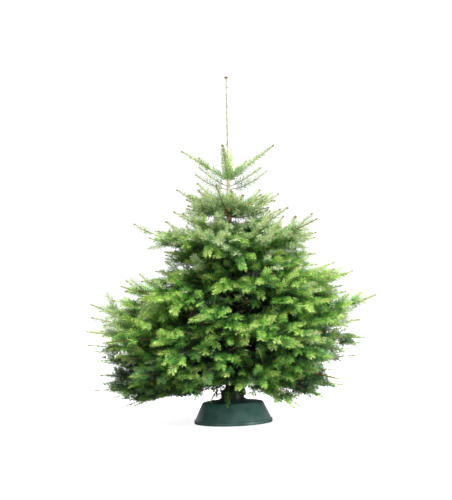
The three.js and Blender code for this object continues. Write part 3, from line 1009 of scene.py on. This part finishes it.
@dataclass
class Foliage:
    """Needles, twigs and buds for a bundle of axes.

    Tables are by height in metres. The light table paints shade on the undersides of the low whorl and of
    the shoulder.
    """

    bundle: Bundle
    seed: int
    shape: NeedleShape = NeedleShape()
    light: Pairs = (
        (0.12, -2.4), (0.17, -1.4), (0.27, -1.2), (0.33, -0.9), (0.37, -0.1), (0.43, 0.3), (0.5, 0.2),
        (0.6, 0.15), (0.78, 0.2), (0.82, -0.1), (0.87, -0.1), (0.93, 0.7), (1.0, 1.1), (1.1, 1.4),
    )  # painted light and shade: steps lighter high up, darker low down under the boughs above
    gloom: Pairs = (
        (0.34, 2.6), (0.46, 1.8), (0.8, 1.9), (0.95, 1.9), (1.1, 1.6), (1.24, 1.0)
    )  # painted shade: steps darker inside the crown, where its shade falls
    rim: Pairs = ((0.85, 0.14), (1.0, 0.04))  # metres from the envelope to where the painted shade inside starts
    fall: Pairs = ((0.85, 0.3), (1.0, 0.16))  # metres over which it comes
    dimmer: Pairs = ((0.3, 0), (0.38, 0.7), (0.8, 0.45), (0.9, 0))  # painted shade: steps darker on the right
    right_grey: Pairs = ((0.42, 0.4), (0.5, 0.12))  # share more of grey-green on the right, partly painted glare
    newest: float = 2.9  # the step of this year's needles, before light, place and chance move it
    ageing: float = 1.05  # steps darker with each year
    leading_step: float = 0.8  # steps lighter on this year's leading shoots
    left_step: float = 0.4  # painted light: steps lighter on the left above the low whorl
    light_tip: float = 0.62  # where the tip of this year's unit starts, which is a step lighter
    dark_foot: float = 0.3  # where its foot ends, which is a step darker

    def tones(self) -> np.ndarray:
        """A green for each axis and each of its years.

        The step gets darker with age, and chance moves it by one. Painted shade darkens it towards the
        trunk, low down and on the right, and painted light lightens it high up and on the left. The family
        is green low down and grey-green near the top, at the rim and on both sides, partly painted glare.

        Returns:
            The numbers of the tones, as an array (axes, ages).
        """
        rng = np.random.default_rng([self.seed, 1])
        b = self.bundle
        n = len(b.axes)
        year = np.arange(len(self.shape.kept))[None, :]
        middle = b.point(np.arange(n), np.full(n, 0.6))
        height, inside = middle[:, 2], depth(middle)
        # painted shade inside the crown, growing from the rim inwards
        deeper = np.clip((inside - read(self.rim, height)) / read(self.fall, height), -0.1, 1)
        step = self.newest - self.ageing * year + (b.shade - read(self.gloom, height) * deeper)[:, None]
        step = step + self.leading_step * (b.leading > LEADING)[:, None] * (year == 0)
        # painted light and shade by height
        step = step + read(self.light, height)[:, None]
        step = step - 0.4 * (b.tier == 1)[:, None]
        # painted light on the left side and painted shade on the right side
        left, right = (np.clip((way * middle[:, 0] - 0.25) / 0.2, 0, 1) for way in (-1, 1))
        step = step + (self.left_step * left * (height > 0.42) - right * read(self.dimmer, height))[:, None]
        step = np.clip(np.round(step), 0, STEPS - 1).astype(int)
        low = np.clip((0.4 - height) / 0.14, 0, 1)
        # grey-green near the top, at the rim and on the sides: partly the tree's own grey-green, partly
        # painted glare
        grey = np.clip((height - 0.7) / 0.36, 0.04, 0.97) + (0.36 + 0.44 * low) * (inside < 0.1)
        grey = grey + 0.3 * left + right * read(self.right_grey, height)
        family = (rng.random(n) < grey).astype(int)
        step = np.where(((family == 1) & (height < 0.36))[:, None], np.minimum(step, 1), step)
        return step + STEPS * family[:, None]

    def places(self, rng: np.random.Generator) -> tuple[np.ndarray, ...]:
        """Where the needles stand: evenly along each axis, and fewer on old wood, in the shade and at tips.

        Args:
            rng: The source of chance.

        Returns:
            For each needle the number of its axis, its own number there, its place on the axis, its age
            in years, how far up that year's unit it stands, and how near it is to the tip of a leading
            shoot.
        """
        b = self.bundle
        per_axis = np.maximum(4, (b.length * (1 - b.bare) * self.shape.densest * b.thick).astype(int))
        i = np.repeat(np.arange(len(b.axes)), per_axis)
        j = np.arange(len(i)) - (np.cumsum(per_axis) - per_axis)[i]
        f = (j + rng.uniform(0, 1, len(i))) / per_axis[i]
        t = b.bare[i] + (1 - b.bare[i]) * (0.02 + 0.97 * f)
        grown = b.years[i] * (1 - f)
        age = np.minimum(grown.astype(int), len(self.shape.kept) - 1)
        within = 1 - (grown - age)  # 0 at the foot of the unit, 1 at its tip
        tip = b.leading[i] * (age == 0) * np.clip((within - 0.4) / 0.6, 0, 1)
        lit = np.clip(1.5 - depth(b.point(i, t)) / LIT_DEPTH, 0.6, 1)
        keep = rng.random(len(i)) < np.array(self.shape.kept)[age] * lit * (1 - 0.5 * tip)
        return tuple(v[keep] for v in (i, j, t, age, within, tip))

    def needles(self) -> Surface:
        """Every needle: a blade of four points and two triangles.

        A needle stands on the twig at an angle round it of up to arc either side of the top. It leans
        forward, more on top than at the sides, and the lowest are combed outwards, so that a twig seen
        from below shows its stem. On a leading shoot the needles get shorter, fewer and closer to the
        stem towards the tip. A blade runs from base to base + L heading, less a sag, and is turned a
        little about its own line by chance. Its points stand w/4 either side of its base and w/2 either
        side of its end.

        Returns:
            All of them as one surface, with a tone for each face.
        """
        rng = np.random.default_rng([self.seed, 2])
        b, s = self.bundle, self.shape
        i, j, t, age, within, tip = self.places(rng)
        n = len(i)
        u = np.mod(j * GOLDEN_SHARE + rng.uniform(-0.06, 0.06, n), 1.0) * 2 - 1
        phi = np.radians(s.arc) * np.sign(u) * np.abs(u) ** s.crowding
        tangent, up, side = b.frames(i, t)
        around = up * np.cos(phi)[:, None] + side * np.sin(phi)[:, None]
        below = np.minimum((around * up).sum(-1), 0)
        around = unit(around - s.combing * below[:, None] * up)
        lean = s.lean + s.side_lean * np.abs(phi) / np.radians(s.arc) - s.tip_lean * tip
        lean = np.radians(lean - s.end_lean * within**8 * (age == 0) + rng.normal(0, s.spread, n))
        heading = unit(tangent * np.cos(lean)[:, None] + around * np.sin(lean)[:, None])
        reach = s.length * (0.9 + 0.1 * np.abs(np.sin(phi))) * (1 - 0.5 * tip) * rng.uniform(0.82, 1.1, n)
        reach = reach[:, None]
        flat = unit(up - (up * heading).sum(-1, keepdims=True) * heading)
        width = np.cross(heading, flat)
        roll = rng.normal(0, s.roll, n)[:, None]
        width, flat = width * np.cos(roll) + flat * np.sin(roll), flat * np.cos(roll) - width * np.sin(roll)
        thickness = b.radius[i] * (1 - t) + b.tip_radius[i] * t
        base = b.point(i, t) + around * (thickness * s.seat)[:, None]
        half = 0.5 * s.width * rng.uniform(0.85, 1.15, n)[:, None]
        half = width * half * np.where(age < 2, 1.0, s.old_width)[:, None]
        end = base + heading * reach - flat * rng.uniform(0, s.sag, n)[:, None] * reach
        blade = [base + half * 0.5, base - half * 0.5, end - half, end + half]
        tone = self.tones()[i, age]
        step, family = tone % STEPS, tone // STEPS
        step = step + ((age == 0) & (within > self.light_tip)) - ((age == 0) & (within < self.dark_foot))
        tone = np.clip(step, 0, STEPS - 1) + STEPS * family
        faces = copies(np.array([[0, 1, 2], [0, 2, 3]]), n, 4)
        return Surface(np.stack(blade, 1), faces, np.repeat(tone, 2))

    def twigs(self, sides: int = 5, rows: int = 4) -> Surface:
        """Every twig but the modelled boughs: a tapering tube along its axis, with a closed tip.

        Ring k is point(t) + r(t) (up cos a + side sin a), and the last ring has next to no radius.

        Args:
            sides: Points in each ring.
            rows: Rings along it, besides the one that closes it.

        Returns:
            All of them as one surface, toned by age.
        """
        b = self.bundle
        chosen = np.flatnonzero(b.modelled == 0)
        n, rings = len(chosen), rows + 1
        t = np.append(np.linspace(0, 1, rows), 1.0)
        shrink = np.append(np.ones(rows), 0.05)
        i = np.repeat(chosen, rings).reshape(n, rings)
        tt = np.broadcast_to(t, (n, rings))
        _, up, side = b.frames(i, tt)
        radius = (b.radius[i] * (1 - tt) + b.tip_radius[i] * tt) * shrink
        points = b.point(i, tt)[:, :, None] + circle(up, side, angles(sides)) * radius[:, :, None, None]
        shape = capped_tube(rings, sides)
        row = np.minimum(shape.min(1) // sides, rows - 1)
        age = b.years[chosen][:, None] * (1 - t[np.minimum(row + 1, rows - 1)][None])
        tone = np.select([age < 0.7, age < 2.2], [0, 1], 2)
        tone = np.where((tone == 0) & (b.leading[chosen][:, None] < 0.5), 1, tone)
        return Surface(points, copies(shape, n, rings * sides), tone)

    def buds(self) -> Surface:
        """Buds: small pointed ovals of four sides and three rings.

        Each shoot has one at its tip. A leading shoot has one more on either side of it. A bough has two
        along the bare outer part of its last unit.

        Returns:
            All of them as one surface.
        """
        rng = np.random.default_rng([self.seed, 3])
        b = self.bundle
        every = np.arange(len(b.axes))
        lead, first = np.flatnonzero(b.leading > LEADING), np.flatnonzero(b.order == 0)
        spots = (
            (every, 1.0, 0.0, 1.0), (lead, 1.0, 0.9, 0.85), (lead, 1.0, -0.9, 0.85),
            (first, 0.93, 1.4, 0.6), (first, 0.82, -1.4, 0.6),
        )  # axes, place, turn to the side, share of the size
        i = np.concatenate([s[0] for s in spots])
        place, turn, grade = (np.concatenate([np.full(len(s[0]), s[k]) for s in spots]) for k in (1, 2, 3))
        place = np.where(place < 1, 1 - (1 - place) * 1.6 / b.years[i], 1.0)
        tangent, _, side = b.frames(i, place)
        heading = unit(tangent + turn[:, None] * side + rng.normal(0, 0.08, (len(i), 3)))
        high = np.where((b.end[i][:, 2] > 1.0) & (b.leading[i] > LEADING), 1.4, 1.0)
        size = 2.6 * MM * grade * (0.7 + 0.6 * b.leading[i]) * high
        return bud_surface(b.point(i, place) - tangent * 1.5 * MM, heading, size)


def bud_surface(seat: np.ndarray, heading: np.ndarray, size: np.ndarray) -> Surface:
    """Many buds at once: three rings of four points, which swell and then close in a point 3 sizes along.

    Args:
        seat: Where each bud stands.
        heading: The way it points.
        size: Half its width.

    Returns:
        All of them as one surface.
    """
    along, girth = np.array([0.0, 1.2, 3.0]), np.array([0.55, 1.0, 0.05])
    side = unit(np.cross(heading, UP) + np.array([0, 1e-4, 0]))
    ring = circle(side, np.cross(heading, side), angles(4))[:, None]
    path = heading[:, None, None] * along[:, None, None] + ring * girth[:, None, None]
    points = seat[:, None, None] + path * size[:, None, None, None]
    return Surface(points, copies(capped_tube(3, 4), len(seat), 12))


# ---------------------------------------------------------------- bark in relief
@dataclass(frozen=True)
class Relief:
    """Ridges of bark: a sum of |sin| waves round and along a stem, with seeded phases."""

    seed: int
    waves: int = 7

    def at(self, turn: np.ndarray, along: np.ndarray) -> np.ndarray:
        """Sums |sin(m a + q s + p)| less its mean over the waves, for each angle a and distance s.

        Args:
            turn: Angles round the stem.
            along: Distances along it, in metres.

        Returns:
            The relief, from -0.5 to 0.5 or so.
        """
        rng = np.random.default_rng([SEED, Chance.RELIEF, self.seed])
        total = np.zeros(np.broadcast(turn, along).shape)
        for k in range(self.waves):
            round_it, per_metre = rng.integers(2, 9), rng.uniform(-90, 90)
            total += np.abs(np.sin(round_it * turn + per_metre * along + rng.uniform(0, 6.3))) - 0.64
        return total / math.sqrt(self.waves)


@dataclass(frozen=True)
class TrunkBark:
    """The trunk with its cut foot, ridged bark, swellings at the whorls and smooth leader. Millimetres."""

    profile: Pairs = (
        (6.3, 40), (105, 37), (236, 37), (306, 33), (1239, 9), (1265, 4.2), (1794, 2.3), (1801, 2.0),
        (1806, 0.6),
    )  # radius by height
    ridges: Pairs = ((0, 1.5), (300, 1.3), (1100, 0.5), (1260, 0.3), (1300, 0.12))  # their depth by height
    sides: int = 36
    step: float = 5.0
    leader_foot: float = 1290
    leader_rings: int = 60
    bud_places: tuple[float, float, float] = (1300, 1780, 34)  # first, last and step of those up the leader
    cluster: float = 1796
    tip: float = 1798
    bud_sizes: tuple[float, float, float] = (1.9, 3.0, 4.2)  # up the leader, each third one, the tip's

    def build(self, palette: Palette) -> None:
        """Makes the trunk and the leader's buds.

        Args:
            palette: The tree's materials.
        """
        Piece("trunk_bark", "bark", ("trunk",)).make(self.surface(), palette.trunk)
        Piece("buds_leader", "bark").make(self.leader_buds(), palette.buds)

    def surface(self) -> Surface:
        """Rings round the leaning axis: radius(z) + bark relief + a swelling that fades from each bough.

        Returns:
            The closed surface.
        """
        low, top = self.profile[0][0], self.profile[-1][0]
        old_wood = np.arange(low, self.leader_foot, self.step)
        heights = np.concatenate([old_wood, np.linspace(self.leader_foot, top, self.leader_rings)])[:, None]
        turn = angles(self.sides)
        relief = Relief(0).at(turn[None], heights * MM)
        radius = read(self.profile, heights) + read(self.ridges, heights) * relief
        for whorl in WHORLS[2:]:
            for azimuth in whorl.azimuths:
                around = (turn - math.radians(azimuth) + math.pi) % (2 * math.pi) - math.pi
                away = np.hypot(around * radius, heights - whorl.height)
                radius = radius + 0.4 * whorl.limb * np.exp(-((away / (2.0 * whorl.limb)) ** 2))
        grid = spun(radius, heights, turn)
        grid[..., 0] += heights * math.tan(math.radians(LEAN))
        return closed_tube(grid * MM)

    def leader_buds(self) -> Surface:
        """Buds up the leader in a spiral, a cluster round its tip, and one that stands straight up on it.

        Returns:
            All of them as one surface.
        """
        heights = np.concatenate([np.arange(*self.bud_places), np.full(5, self.cluster), [self.tip]])
        number = np.arange(len(heights))
        turn = np.radians(number * GOLDEN)
        out = np.stack([np.cos(turn), np.sin(turn), 0 * turn], -1)
        top = heights >= self.cluster
        up = np.where(top, 0.55, 1.0)
        up[-1] = 30.0
        seat = np.array([trunk_axis(h) for h in heights]) + out * (2.0 * MM)
        seat[-1] = trunk_axis(self.tip)
        small, large, largest = self.bud_sizes
        size = np.where(top, largest, np.where(number % 3 == 1, large, small))
        return bud_surface(seat, unit(out + UP * up[:, None]), size * MM)


@dataclass(frozen=True)
class LimbBark:
    """One bough's bark: a tube along its axis that flares into the trunk, ridged most at its thick end."""

    axis: Axis
    seed: int  # the number that its relief starts from
    rows: int = 26
    sides: int = 12
    thinning: float = 0.8  # power of the way left to the tip
    flare: float = 0.5  # how much wider it is at the trunk
    flare_length: float = 35 * MM
    ridges: float = 0.1  # their depth as a share of the radius

    def surface(self) -> Surface:
        """Rings of radius R (1 - t)^0.8 + r t, times 1 + flare exp(-distance / flare length), and ridged.

        R is the radius at the trunk and r the one at the tip.

        Returns:
            The closed surface.
        """
        bundle = Bundle([self.axis])
        t = np.linspace(0, 1, self.rows)
        i = np.zeros(self.rows, int)
        _, up, side = bundle.frames(i, t)
        turn = angles(self.sides)
        distance = t * self.axis.length
        radius = self.axis.radius * (1 - t) ** self.thinning + self.axis.tip_radius * t
        radius = radius * (1 + self.flare * np.exp(-distance / self.flare_length))
        relief = Relief(self.seed).at(turn[None], distance[:, None])
        radius = radius[:, None] * (1 + self.ridges * relief)
        return closed_tube(bundle.point(i, t)[:, None] + circle(up, side, turn) * radius[..., None])


@dataclass(frozen=True)
class Tier:
    """What stands for one whorl's nodes: needles for its masses, bark for its boughs, twigs and buds."""

    number: int
    crown: Crown
    palette: Palette

    def build(self) -> None:
        """Makes the whorl's needles, limbs, twigs and buds."""
        name = WHORLS[self.number].name
        foliage = Foliage(Bundle([a for a in self.crown.axes if a.tier == self.number]), 100 + self.number)
        self.needles(foliage.needles())
        for axis in foliage.bundle.axes:
            if axis.modelled:
                self.limb(axis)
        Piece(f"twigs_{name}", "bark").make(foliage.twigs(), self.palette.twigs)
        Piece(f"buds_{name}", "bark").make(foliage.buds(), self.palette.buds)

    def needles(self, grown: Surface) -> None:
        """Makes the needles, cut into pieces that are small enough.

        Args:
            grown: All the whorl's needles, of four points and two faces each.
        """
        whorl = WHORLS[self.number]
        prefix = "foliage_" if whorl.limb else ""
        masses = tuple(f"{prefix}{whorl.name}_{i + 1}" for i in range(len(whorl.azimuths)))
        count = math.ceil(len(grown.faces) / PIECE_LIMIT)
        cuts = np.linspace(0, len(grown.faces) // 2, count + 1).astype(int)
        for k, (a, b) in enumerate(zip(cuts[:-1], cuts[1:])):
            faces = grown.faces[2 * a : 2 * b] - 4 * a
            part = Surface(grown.points[4 * a : 4 * b], faces, grown.tones[2 * a : 2 * b])
            piece = Piece(f"needles_{whorl.name}_{k + 1}", "foliage", masses, smooth=False)
            piece.make(part, self.palette.greens)

    def limb(self, axis: Axis) -> None:
        """Makes one bough's bark: that of the three top tiers is young.

        Args:
            axis: The bough.
        """
        name = f"{WHORLS[self.number].name}_{axis.modelled}"
        bark = self.palette.limbs if self.number > 2 else self.palette.young_limbs
        surface = LimbBark(axis, 10 * self.number + axis.modelled).surface()
        Piece(f"limb_{name}", "bark", (f"bough_{name}",)).make(surface, bark)


# ---------------------------------------------------------------- the stand
@dataclass(frozen=True)
class Stand:
    """The moulded stand: foot flange with its step, sloping skirt, domed deck and well. Millimetres."""

    outline: tuple[tuple[float, float, float], ...] = (
        (2, 0, 0), (60, 0, 1), (60, 112, 5), (151, 98, 9), (187, 20, 3), (189, 0, 1.2), (200, 0, 1.4),
        (200, 17, 6), (193, 18.5, 0.8), (191.6, 23, 2), (158, 99, 5), (151, 105, 9), (68, 116, 8),
        (56, 115, 1.6), (56, 6, 4), (2, 6, 0),
    )
    sides: int = 128

    def build(self) -> None:
        """Makes the moulding."""
        plastic = [STAND_PLASTIC.material()]
        Piece("stand_moulding", "stand_plastic", ("stand_body",)).make(self.surface(), plastic)

    def surface(self) -> Surface:
        """The outline turned round the axis, and closed there, where it starts and where it ends."""
        radius, height = (column[:, None] for column in rounded(self.outline).T)
        return closed_tube(spun(radius, height, angles(self.sides)))


@dataclass(frozen=True)
class Clamp:
    """The ring on the deck and its three screws, which press on the trunk. Millimetres."""

    bore: float = 51
    wall: float = 60
    lip: float = 64
    flange: float = 68
    deck: float = 116
    height: float = 46
    flange_height: float = 5
    lip_height: float = 6
    screws: int = 3
    screw_height: float = 142
    screw_radius: float = 4
    screw_foot: float = 38.5
    straight: float = 50  # where a screw stops leaning over towards the trunk
    pitch: float = 3.0
    thread: float = 0.5
    reach: float = 86
    handle: float = 34
    first: float = 40.0  # degrees

    def build(self) -> None:
        """Makes the ring and its screws."""
        plastic = [CLAMP_PLASTIC.material()]
        Piece("clamp_ring", "clamp_plastic", ("stand_clamp",)).make(self.ring(), plastic)
        for i in range(self.screws):
            Piece(f"clamp_screw_{i + 1}", "clamp_plastic").make(self.screw(i), plastic)

    def ring(self) -> Surface:
        """The ring: a foot flange, a wall and a lip, with every edge rounded, turned round the axis.

        Returns:
            The surface.
        """
        top = self.deck + self.height
        foot, under = self.deck + self.flange_height, top - self.lip_height
        outline = (
            (self.bore, self.deck, 0.8), (self.flange, self.deck, 1.5), (self.flange, foot, 1.5),
            (self.wall, foot, 2), (self.wall, under, 2), (self.lip, under, 1.2), (self.lip, top, 1.5),
            (self.bore, top, 1.2),
        )
        return turned(rounded(outline), 96)

    def screw(self, number: int) -> Surface:
        """A screw: a threaded rod from the trunk outwards, with a rounded bar across its end.

        The thread is a ridge whose height is the cosine of the angle round the rod less the turns along
        it. The bar's radius is sqrt(1 - |s|^6) of its middle one, with s from -1 to 1 along it.

        Args:
            number: Which of the screws.

        Returns:
            The rod and the bar.
        """
        out = level(self.first + 360 / self.screws * number)
        side = np.cross(UP, out)
        turn = angles(16)
        middle = UP * self.screw_height
        lean = trunk_axis(self.screw_height) / MM - middle
        reach = np.linspace(self.screw_foot, self.reach, 90)[:, None]
        ridge = self.thread * np.cos(turn - reach * 2 * math.pi / self.pitch)
        radius = self.screw_radius - self.thread + ridge
        centre = middle + out * reach + lean * np.maximum(self.straight - reach, 0) / 12
        rod = centre[:, None] + circle(side, UP, turn) * radius[..., None]
        s = np.linspace(-1, 1, 15)[:, None]
        bar_radius = self.screw_radius * np.sqrt(np.clip(1.02 - np.abs(s) ** 6, 0.02, 1))
        bar_centre = middle + out * self.reach + UP * (s * self.handle / 2)
        bar = bar_centre[:, None] + circle(out, side, turn) * bar_radius[..., None]
        return Surface.joined([closed_tube(rod * MM), closed_tube(bar * MM)])


# ---------------------------------------------------------------- camera, lights, floor
class LampKind(Enum):
    """Kinds of lamp, each with the property that makes it soft."""

    SUN = "angle"
    AREA = "size"


@dataclass(frozen=True)
class Lamp:
    """One lamp: its strength, its angle or width, where it stands and the way it shines."""

    name: str
    kind: LampKind
    energy: float
    softness: float
    place: tuple[float, float, float]
    towards: tuple[float, float, float]

    def light(self) -> None:
        """Puts the lamp into the scene."""
        data = bpy.data.lights.new(self.name, self.kind.name)
        data.energy = self.energy
        setattr(data, self.kind.value, self.softness)
        lamp = bpy.data.objects.new(self.name, data)
        lamp.location = self.place
        lamp.rotation_euler = Vector(self.towards).to_track_quat("-Z", "Y").to_euler()
        bpy.context.scene.collection.objects.link(lamp)


@dataclass(frozen=True)
class Studio:
    """White surroundings with soft light from above the front right, a pale floor, and the camera."""

    distance: float = 4.5
    height: float = 0.5
    pitch: float = 4.874  # degrees, as are the next two
    yaw: float = -0.097
    roll: float = 2.0
    lens: float = 62.5
    sensor: float = 36.0
    sky: float = 0.62  # how strongly the sky lights the tree
    seen_sky: float = 1.1  # how bright it looks
    lamps: tuple[Lamp, ...] = (
        Lamp("key", LampKind.SUN, 4.8, math.radians(22), (0, 0, 3), (-0.18, 0.46, -0.95)),
        Lamp("fill", LampKind.SUN, 1.0, math.radians(50), (0, -3, 1), (0.45, 0.9, 0.04)),
        Lamp("side", LampKind.AREA, 24.0, 1.4, (2.4, -2.0, 0.9), (-2.3, 1.9, -0.75)),
        Lamp("low", LampKind.AREA, 16.0, 0.5, (1.6, -1.3, 0.2), (-1.45, 1.15, -0.14)),
    )
    floor_half: float = 60.0

    def build(self) -> None:
        """Puts the camera, the sky, the lamps and the floor into the scene."""
        self.camera()
        self.sky_light()
        for lamp in self.lamps:
            lamp.light()
        self.floor()

    def camera(self) -> None:
        """A view from the front, from below the tree's middle, turned a little about its own axis."""
        data = bpy.data.cameras.new("camera")
        data.lens = self.lens
        data.sensor_width = self.sensor
        camera = bpy.data.objects.new("camera", data)
        yaw, pitch, roll = (math.radians(v) for v in (self.yaw, self.pitch, self.roll))
        ahead = Vector((math.sin(yaw) * math.cos(pitch), math.cos(yaw) * math.cos(pitch), math.sin(pitch)))
        right = ahead.cross(Vector((0, 0, 1))).normalized()
        above = right.cross(ahead)
        turned_right = right * math.cos(roll) - above * math.sin(roll)
        turned_above = right * math.sin(roll) + above * math.cos(roll)
        turn = Matrix((turned_right, turned_above, -ahead)).transposed().to_4x4()
        camera.matrix_world = Matrix.Translation((0, -self.distance, self.height)) @ turn
        bpy.context.scene.collection.objects.link(camera)
        bpy.context.scene.camera = camera

    def sky_light(self) -> None:
        """A dim white sky that the camera sees as white."""
        world = bpy.data.worlds.new("white_sky")
        world.use_nodes = True
        tree = world.node_tree
        seen = add_node(tree, "LightPath").outputs["Is Camera Ray"]
        strength = add_node(tree, "MapRange", Value=seen, To_Min=self.sky, To_Max=self.seen_sky)
        background = tree.nodes["Background"]
        background.inputs["Color"].default_value = (1, 1, 1, 1)
        tree.links.new(strength.outputs[0], background.inputs["Strength"])
        bpy.context.scene.world = world

    def floor(self) -> None:
        """A wide level floor."""
        mesh = bpy.data.meshes.new("floor")
        h = self.floor_half
        mesh.from_pydata([(-h, -h, 0), (h, -h, 0), (h, h, 0), (-h, h, 0)], [], [(0, 1, 2, 3)])
        floor = bpy.data.objects.new("floor", mesh)
        bpy.context.scene.collection.objects.link(floor)
        mesh.materials.append(FloorFinish("studio_floor").material())


def main() -> None:
    """Builds the tree's looks in order."""
    logging.basicConfig(level=logging.INFO, format="%(name)s %(message)s", stream=sys.stdout)
    bpy.context.scene.view_settings.view_transform = "Standard"
    Studio().build()
    crown = Crown()
    crown.grow()
    LOG.info("axes %d, total length %.1f m", len(crown.axes), sum(a.length for a in crown.axes))
    palette = Palette.mixed()
    for number in range(len(WHORLS)):
        Tier(number, crown, palette).build()
    TrunkBark().build(palette)
    Stand().build()
    Clamp().build()


if __name__ == "__main__":
    main()
